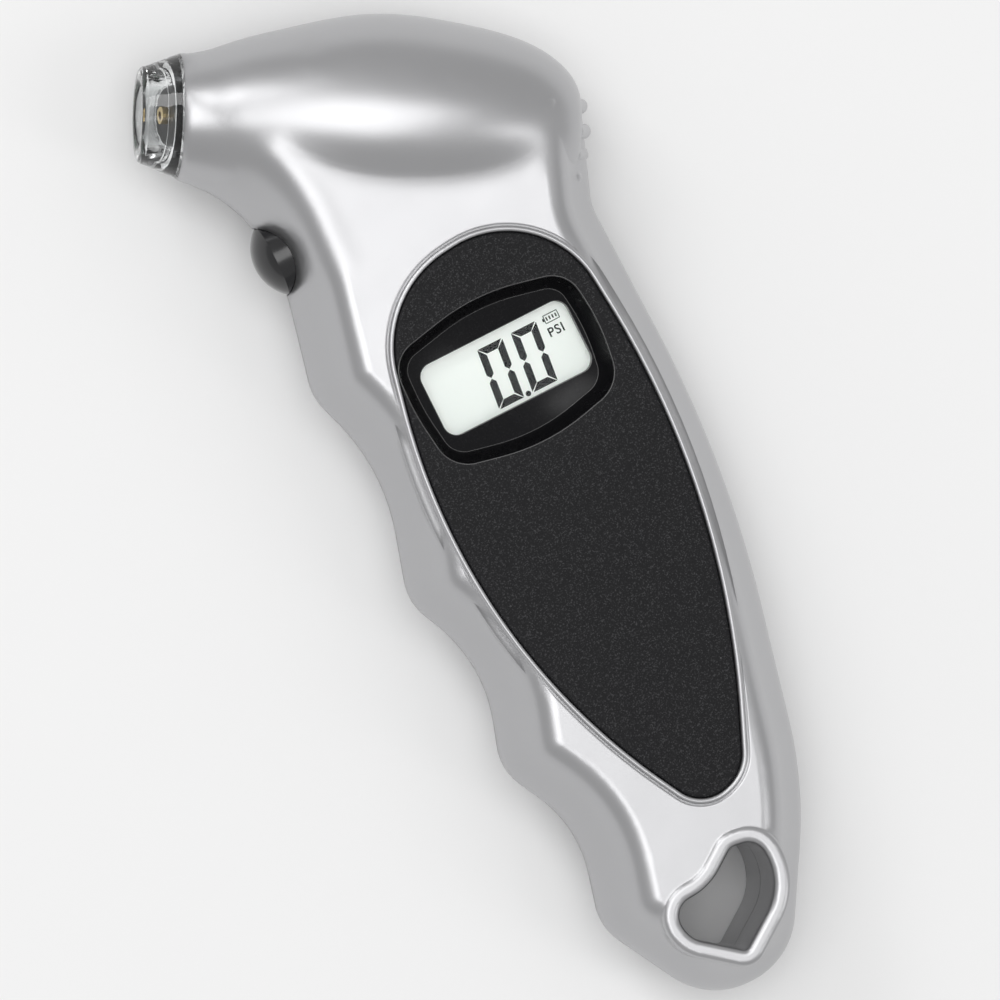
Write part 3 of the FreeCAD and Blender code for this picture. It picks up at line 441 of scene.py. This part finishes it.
def display_ink(name):
    """The dark segments of the display."""
    maker = Maker(name, (0.010, 0.012, 0.013), 0.6, drift=0.1, drift_size=2 * MM, Specular_IOR_Level=0.0)
    maker.bump(maker.grain(0.1 * MM), 0.002 * MM)
    return maker.done()


def gloss_black(name):
    """Polished black plastic with faint handling marks."""
    maker = Maker(name, (0.006, 0.006, 0.007), 0.20, drift=0.1, drift_size=2.5 * MM, rough_drift=0.07,
                  Coat_Weight=0.35, Coat_Roughness=0.12)
    maker.bump(maker.grain(2.5 * MM, 2.0), 0.02 * MM)
    return maker.done()


def turned_metal(name, colour, roughness, wear=(0.3, 0.3, 0.3)):
    """Turned or plated metal with fine tool marks and a little tarnish."""
    maker = Maker(name, colour, roughness, drift=0.08, drift_size=2 * MM, rough_drift=0.10, Metallic=1.0)
    maker.bump(maker.grain(0.15 * MM, 3.0), 0.008 * MM)
    spots = maker.step(maker.grain(3 * MM, 3.0), 0.62, 0.78)
    maker.blend(maker.sum("MULTIPLY", spots, 0.35), wear)
    return maker.done()


def moulded(name, colour, roughness, size=0.3, depth=0.02, **constants):
    """Plain moulded plastic or rubber with a fine surface."""
    maker = Maker(name, colour, roughness, drift=0.06, drift_size=4 * MM, **constants)
    maker.bump(maker.grain(size * MM, 2.0), depth * MM)
    return maker.done()


def circuit_mask(name):
    """Green solder mask with paler copper runs under it."""
    maker = Maker(name, (0.015, 0.12, 0.05), 0.35, drift=0.08, drift_size=3 * MM, Coat_Weight=0.2)
    grid = maker.tree.nodes.new("ShaderNodeTexBrick")
    maker.tree.links.new(maker.place, grid.inputs["Vector"])
    grid.inputs["Scale"].default_value = 220
    grid.inputs["Mortar Size"].default_value = 0.03
    maker.blend(maker.sum("MULTIPLY", grid.outputs["Fac"], 0.5), (0.05, 0.30, 0.12))
    maker.bump(grid.outputs["Fac"], 0.03 * MM)
    return maker.done()


FINISHES = {}


def build_materials():
    FINISHES.update(
        silver_front=silver_coating("silver_coating_front", True),
        silver_back=silver_coating("silver_coating_back", False),
        panel=grained_panel("panel_grain", True),
        door=grained_panel("door_grain", False),
        tip=clear_plastic("clear_nozzle"),
        window=window_plastic("display_window"),
        cell=display_cell("display_cell"),
        ink=display_ink("display_ink"),
        button=gloss_black("button_gloss"),
        brass=turned_metal("turned_brass", finish().brass, 0.22, (0.45, 0.28, 0.10)),
        steel=turned_metal("contact_steel", (0.62, 0.62, 0.60), 0.28),
        screw=turned_metal("plated_screw", (0.45, 0.45, 0.46), 0.30),
        tin=turned_metal("tin_can", (0.72, 0.72, 0.72), 0.18),
        rubber=moulded("seal_rubber", (0.008, 0.008, 0.008), 0.55, 0.4, 0.03),
        silicone=moulded("hose_silicone", (0.62, 0.62, 0.58), 0.40, 2.0, 0.02, Subsurface_Weight=0.3,
                         Subsurface_Scale=0.002),
        white=moulded("white_moulding", (0.78, 0.78, 0.75), 0.45),
        chip=moulded("chip_package", (0.018, 0.018, 0.02), 0.55, 0.15, 0.02),
        lamp=moulded("lamp_epoxy", (0.85, 0.84, 0.70), 0.15, 1.0, 0.01, Coat_Weight=0.5),
        board=circuit_mask("solder_mask"),
    )


NODE_FINISH = {
    "front_shell": "silver_front", "back_shell": "silver_back", "front_panel": "panel",
    "battery_door": "door", "lcd_window": "window", "nozzle_tip": "tip", "lcd_glass": "cell",
    "backlight_plate": "white",
    "lcd_frame": "white", "nozzle_collar": "white", "zebra_strips": "rubber", "nozzle_seal": "rubber",
    "air_tube": "silicone", "main_board": "board", "led_board": "board", "switch_board": "board",
    "controller_chip": "chip", "small_components": "chip", "pressure_sensor": "chip", "switch_body": "chip",
    "crystal_can": "tin", "nozzle_leds": "lamp", "button_cap": "button", "switch_plunger": "chip",
    "button_cells": "steel", "coin_cell": "steel", "cell_contact_positive": "steel",
    "cell_contact_negative": "steel", "coin_contact_top": "steel", "coin_contact_side": "steel",
    "housing_screws": "screw", "battery_door_screw": "screw", "board_screws": "screw",
    "valve_depressor": "brass",
}


def dress(item, name):
    """Gives an object one material."""
    item.data.materials.clear()
    item.data.materials.append(FINISHES[name])


# ---------------------------------------------------------------- modelling helpers
def only(*items):
    """Selects these objects and nothing else."""
    bpy.ops.object.select_all(action="DESELECT")
    for item in items:
        item.select_set(True)
    bpy.context.view_layer.objects.active = items[-1]


def edit(item):
    """Edit mode on one object with nothing selected."""
    only(item)
    bpy.ops.object.mode_set(mode="EDIT")
    bpy.ops.mesh.select_all(action="DESELECT")


def pick(item, kind, test):
    """Selects the faces, edges or vertices of an object in edit mode whose centre passes the test."""
    bpy.ops.mesh.select_mode(type={"faces": "FACE", "edges": "EDGE", "verts": "VERT"}[kind])
    bpy.ops.mesh.select_all(action="DESELECT")
    bpy.ops.object.mode_set(mode="OBJECT")
    mesh = item.data
    for part in {"faces": mesh.polygons, "edges": mesh.edges, "verts": mesh.vertices}[kind]:
        if kind == "verts":
            part.select = test(part.co)
        elif kind == "edges":
            ends = [mesh.vertices[i].co for i in part.vertices]
            part.select = test((ends[0] + ends[1]) / 2)
        else:
            part.select = test(part.center)
    bpy.ops.object.mode_set(mode="EDIT")


def rest(item, name):
    """Names a modelled piece and moves its place, turn and scale into its mesh."""
    if bpy.context.mode != "OBJECT":
        bpy.ops.object.mode_set(mode="OBJECT")
    item.name = name
    item.data.name = name
    only(item)
    bpy.ops.object.transform_apply(location=True, rotation=True, scale=True)
    return item


def apply_all(item):
    only(item)
    for modifier in list(item.modifiers):
        bpy.ops.object.modifier_apply(modifier=modifier.name)


def joined(name, items):
    """One piece out of several."""
    only(*items)
    if len(items) > 1:
        bpy.ops.object.join()
    return rest(bpy.context.object, name)


def finish_piece(item, body, material, angle=30):
    """Smooth shading, material and body of a finished piece."""
    only(item)
    bpy.ops.object.shade_smooth_by_angle(angle=math.radians(angle))
    dress(item, material)
    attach(item, body)
    return item


# ---------------------------------------------------------------- display marks
DISPLAY_LIFT = 0.01 * MM            # gap between the cell and the marks on it
SLANT = math.radians(6)
BAR_GAP = 0.09 * MM
ZERO = ((0, -1), (0, 1), (-1, -1), (1, -1), (-1, 1), (1, 1))    # the bars of a nought: (across, up)


def on_display(across, along):
    """A place on the display, in millimetres from its middle."""
    middle = (GLASS_LOW + GLASS_HIGH) / 2
    return Vector((middle.x + across * MM, middle.y + along * MM, GLASS_HIGH.z + DISPLAY_LIFT))


def bar(centre, length, width, turn, mitred, side):
    """One bar of a digit, as thick as the ink: pointed, with its mitred ends (-1, 1) slanted outwards."""
    bpy.ops.object.select_all(action="DESELECT")
    bpy.ops.mesh.primitive_circle_add(vertices=6, radius=1, fill_type="NGON")
    item = bpy.context.object
    bpy.ops.object.mode_set(mode="EDIT")
    pick(item, "verts", lambda co: abs(co.y) < 0.9)
    bpy.ops.transform.resize(value=(width / 2 / math.cos(math.radians(30)), length - width, 1))
    for end in (-1, 1):
        pick(item, "verts", lambda co: co.y * end > 0.9)
        reach = length / 2 + (width / 2 if end in mitred else 0)
        bpy.ops.transform.translate(value=(side * width / 2 if end in mitred else 0, end * (reach - 1), 0))
    pick(item, "faces", lambda co: True)
    bpy.ops.mesh.extrude_region_move(TRANSFORM_OT_translate={"value": (0, 0, sizes().ink)})
    bpy.ops.object.mode_set(mode="OBJECT")
    only(item)
    item.rotation_euler.z = turn
    item.location = centre
    bpy.ops.object.transform_apply(location=True, rotation=True, scale=True)
    return item


def digit(name, corner, bars):
    """A leaning seven-segment digit from its lower left corner, with these bars lit."""
    width, height, thick = sizes().digit_width, sizes().digit_height, sizes().segment_width
    wide = width - thick - 2 * BAR_GAP
    middle = (height / 2 - BAR_GAP / 2 - thick / 2) / 2
    tall = 2 * (middle - BAR_GAP / 2)
    made = []
    for across, up in bars:
        if across:
            rise, turn, size, mitred, side = up * middle, -SLANT, tall, (up,), across
        else:
            rise, turn, size, mitred, side = up * (height - thick) / 2, math.pi / 2, wide, (-1, 1), up
        x = width / 2 + across * (width - thick) / 2 + math.tan(SLANT) * rise
        place = corner + Vector((x, height / 2 + rise, 0))
        made.append(bar(place, size, thick, turn, mitred if side else (), side))
    return finish_piece(joined(name, made), "housing", "ink")


def flat_box(name, low, high):
    """A flat rectangle with rounded corners, in edit mode."""
    bpy.ops.object.select_all(action="DESELECT")
    bpy.ops.mesh.primitive_plane_add(size=1)
    item = bpy.context.object
    item.scale = (high[0] - low[0], high[1] - low[1], 1)
    item.location = (low + high) / 2
    rest(item, name)
    edit(item)
    pick(item, "verts", lambda co: True)
    bpy.ops.mesh.bevel(affect="VERTICES", offset=0.12 * MM, segments=3)
    return item


def thicken(item):
    """Gives a flat item the ink's thickness and leaves edit mode."""
    bpy.ops.mesh.select_mode(type="FACE")
    bpy.ops.mesh.select_all(action="SELECT")
    bpy.ops.mesh.extrude_region_move(TRANSFORM_OT_translate={"value": (0, 0, sizes().ink)})
    bpy.ops.object.mode_set(mode="OBJECT")
    return item


class GAUGE_OT_display_marks(bpy.types.Operator):
    """Adds the digits, the point, the unit letters and the battery sign of the display"""

    bl_idname = "gauge.display_marks"
    bl_label = "Display marks"

    def execute(self, context):
        digit("display_digit_left", on_display(-2.8, -5.0), ZERO)
        digit("display_digit_right", on_display(2.6, -5.0), ZERO)
        bpy.ops.object.select_all(action="DESELECT")
        bpy.ops.mesh.primitive_circle_add(vertices=24, radius=0.40 * MM, fill_type="NGON",
                                          location=on_display(1.5, -4.8))
        point = rest(bpy.context.object, "display_point")
        edit(point)
        thicken(point)
        finish_piece(point, "housing", "ink")

        case = flat_box("battery_outline", on_display(8.2, 2.85), on_display(10.5, 4.15))
        pick(case, "faces", lambda co: True)
        bpy.ops.mesh.inset(thickness=0.13 * MM)
        bpy.ops.mesh.delete(type="FACE")
        thicken(case)
        cap = thicken(flat_box("battery_tip", on_display(7.95, 3.25), on_display(8.2, 3.75)))
        charge = [thicken(flat_box(f"battery_bar_{i}", on_display(8.5 + 0.48 * i, 3.2),
                                   on_display(8.72 + 0.48 * i, 3.8))) for i in range(4)]
        sign = joined("display_battery_sign", [case, cap] + charge)
        finish_piece(sign, "housing", "ink")

        bpy.ops.object.select_all(action="DESELECT")
        bpy.ops.object.text_add(location=on_display(7.9, 0.9))
        letters = bpy.context.object
        letters.data.body = "PSI"
        letters.data.size = 1.9 * MM
        letters.data.space_character = 1.12
        letters.data.offset = 0.03 * MM
        bpy.ops.object.convert(target="MESH")
        letters = rest(bpy.context.object, "display_unit_letters")
        solidify = letters.modifiers.new("thickness", "SOLIDIFY")
        solidify.thickness = sizes().ink
        solidify.offset = 1
        apply_all(letters)
        finish_piece(letters, "housing", "ink")
        return {"FINISHED"}


# ---------------------------------------------------------------- screws
SCREW_POINT = 0.6 * MM              # length of a screw's tapered end
# centres of the housing's screws, in millimetres
SCREW_PLACES = ((16.0, 57.0), (-2.9, 68.0), (-15.5, -7.2), (17.5, -8.0), (-9.5, -55.0))


def cross_screw(name, place, head_radius, head_low, head_thick, shank_radius, shank_top):
    """A screw whose head looks down, with rounded edges and a tapered cross recess."""
    bpy.ops.object.select_all(action="DESELECT")
    bpy.ops.mesh.primitive_cylinder_add(vertices=40, radius=head_radius, depth=head_thick,
                                        location=(place[0], place[1], head_low + head_thick / 2))
    item = rest(bpy.context.object, name)
    edit(item)
    pick(item, "edges", lambda co: co.z < head_low + SLIVER)
    bpy.ops.mesh.bevel(offset=head_thick * 0.4, segments=4, profile=0.55)
    pick(item, "faces", lambda co: co.z > head_low + head_thick - SLIVER)
    bpy.ops.mesh.inset(thickness=head_radius - shank_radius)
    bpy.ops.mesh.extrude_region_move(
        TRANSFORM_OT_translate={"value": (0, 0, shank_top - head_low - head_thick - SCREW_POINT)})
    bpy.ops.mesh.extrude_region_move(TRANSFORM_OT_translate={"value": (0, 0, SCREW_POINT)})
    bpy.ops.transform.resize(value=(0.35, 0.35, 1))
    bpy.ops.object.mode_set(mode="OBJECT")
    for turn in (0.0, math.pi / 2):
        bpy.ops.object.select_all(action="DESELECT")
        bpy.ops.mesh.primitive_cube_add(size=1, location=(place[0], place[1], head_low))
        cutter = bpy.context.object
        cutter.scale = (head_radius * 1.15, head_radius * 0.24, head_thick * 1.2)
        cutter.rotation_euler.z = turn + math.radians(20)
        rest(cutter, "cross_cutter")
        edit(cutter)
        pick(cutter, "faces", lambda co: co.z > head_low + SLIVER and abs(co.x - place[0]) < SLIVER)
        bpy.ops.transform.resize(value=(0.7, 0.7, 1))
        bpy.ops.object.mode_set(mode="OBJECT")
        carve = item.modifiers.new("recess", "BOOLEAN")
        carve.operation = "DIFFERENCE"
        carve.solver = "EXACT"
        carve.object = cutter
        apply_all(item)
        bpy.data.objects.remove(cutter)
    return item


class GAUGE_OT_screws(bpy.types.Operator):
    """Models the cross-recess screws that hold the housing and the battery door"""

    bl_idname = "gauge.screws"
    bl_label = "Screws"

    def execute(self, context):
        made = [cross_screw("screw_one", (x * MM, y * MM), sizes().screw_head, SCREW_LOW.z, 1.7 * MM,
                            sizes().screw_shank, SCREW_HIGH.z) for x, y in SCREW_PLACES]
        housing = joined("housing_cross_screws", made)
        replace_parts(finish_piece(housing, "housing", "screw"), "housing_screws")
        middle = (DOOR_SCREW_LOW + DOOR_SCREW_HIGH) / 2
        door = cross_screw("door_screw", middle.xy, 1.9 * MM, DOOR_SCREW_LOW.z, 0.55 * MM, 0.95 * MM,
                           DOOR_SCREW_HIGH.z)
        rest(door, "door_cross_screw")
        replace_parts(finish_piece(door, "housing", "screw"), "battery_door_screw")
        return {"FINISHED"}


# ---------------------------------------------------------------- finishes of the frame's own parts
class GAUGE_OT_frame_finishes(bpy.types.Operator):
    """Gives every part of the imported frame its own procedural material"""

    bl_idname = "gauge.frame_finishes"
    bl_label = "Frame finishes"

    def execute(self, context):
        build_groups()
        build_materials()
        for name, item in NODES.items():
            dress(item, NODE_FINISH[name])
        return {"FINISHED"}


# ---------------------------------------------------------------- stage
VIEW_TURN = math.radians(26.8)      # the gauge's length leans this far to the left of the view's upright
VIEW_YAW = math.radians(8.4)
VIEW_WIDTH = 142.86 * MM
VIEW_MIDDLE = Vector((-5.85, -0.16, 12.5)) * MM
LENS = 400.0
SURROUNDINGS = 0.55                  # brightness of the studio's walls
SENSOR = 36.0


def view_axes():
    """Right, up and back of the camera."""
    right = Vector((math.cos(VIEW_TURN), -math.sin(VIEW_TURN), 0))
    up = Vector((math.sin(VIEW_TURN), math.cos(VIEW_TURN), 0))
    back = math.cos(VIEW_YAW) * Vector((0, 0, 1)) - math.sin(VIEW_YAW) * right
    return up.cross(back), up, back


def frame_matrix(right, up, back, place):
    turn = Matrix((right, up, back)).transposed().to_4x4()
    return Matrix.Translation(place) @ turn


# name, offset right, up and back in metres, width and height in metres, watts
LIGHTS = (
    ("ceiling_light", (0.0, 0.1, 1.7), (1.2, 1.2), 11.5),
    ("key_light", (-0.55, 0.65, 0.9), (0.5, 0.35), 2.5),
    ("fill_light", (0.85, -0.2, 0.7), (0.25, 0.6), 1.0),
)


def soft_light(name, offset, size, power):
    """A rectangular area light at an offset in the camera's own axes, looking at the gauge."""
    right, up, back = view_axes()
    place = VIEW_MIDDLE + right * offset[0] + up * offset[1] + back * offset[2]
    data = bpy.data.lights.new(name, "AREA")
    data.shape = "RECTANGLE"
    data.size, data.size_y = size
    data.energy = power
    lamp = bpy.data.objects.new(name, data)
    bpy.context.scene.collection.objects.link(lamp)
    lamp.location = place
    lamp.rotation_euler = (place - VIEW_MIDDLE).to_track_quat("Z", "Y").to_euler()


class GAUGE_OT_stage(bpy.types.Operator):
    """Sets up the pale floor, the soft lights and the camera"""

    bl_idname = "gauge.stage"
    bl_label = "Stage"

    def execute(self, context):
        bpy.ops.object.select_all(action="DESELECT")
        bpy.ops.mesh.primitive_plane_add(size=6, location=(0, 0, 0))
        floor = rest(bpy.context.object, "floor")
        maker = Maker("pale_floor", (0.86, 0.86, 0.86), 0.8, drift=0.01, drift_size=60 * MM)
        floor.data.materials.append(maker.done())

        world = bpy.data.worlds.new("soft_studio")
        context.scene.world = world
        world.use_nodes = True
        background = world.node_tree.nodes["Background"]
        background.inputs["Color"].default_value = (1, 1, 1, 1)
        background.inputs["Strength"].default_value = SURROUNDINGS
        context.scene.view_settings.view_transform = "Standard"

        for light in LIGHTS:
            soft_light(*light)

        right, up, back = view_axes()
        data = bpy.data.cameras.new("camera")
        data.lens = LENS
        data.sensor_width = SENSOR
        data.clip_end = 20
        camera = bpy.data.objects.new("camera", data)
        context.scene.collection.objects.link(camera)
        distance = LENS / SENSOR * VIEW_WIDTH
        camera.matrix_world = frame_matrix(right, up, back, VIEW_MIDDLE + back * distance)
        context.scene.camera = camera
        return {"FINISHED"}


# ---------------------------------------------------------------- panel and registration
OPERATORS = (GAUGE_OT_frame_finishes, GAUGE_OT_display_marks, GAUGE_OT_screws, GAUGE_OT_stage)


class GAUGE_PT_panel(bpy.types.Panel):
    """Lists the gauge's settings and pieces"""

    bl_idname = "GAUGE_PT_panel"
    bl_label = "Tire Pressure Gauge"
    bl_space_type = "VIEW_3D"
    bl_region_type = "UI"
    bl_category = "Gauge"

    def draw(self, context):
        for settings in (context.scene.gauge_finish, context.scene.gauge_sizes):
            for name in settings.__annotations__:
                self.layout.prop(settings, name)
        for operator in OPERATORS:
            self.layout.operator(operator.bl_idname)


CLASSES = (GaugeFinish, GaugeSizes) + OPERATORS + (GAUGE_PT_panel,)


def register():
    for item in CLASSES:
        bpy.utils.register_class(item)
    bpy.types.Scene.gauge_finish = bpy.props.PointerProperty(type=GaugeFinish)
    bpy.types.Scene.gauge_sizes = bpy.props.PointerProperty(type=GaugeSizes)


def unregister():
    del bpy.types.Scene.gauge_sizes
    del bpy.types.Scene.gauge_finish
    for item in reversed(CLASSES):
        bpy.utils.unregister_class(item)


def main():
    register()
    bpy.ops.gauge.frame_finishes()
    bpy.ops.gauge.display_marks()
    bpy.ops.gauge.screws()
    bpy.ops.gauge.stage()


if __name__ == "__main__":
    main()
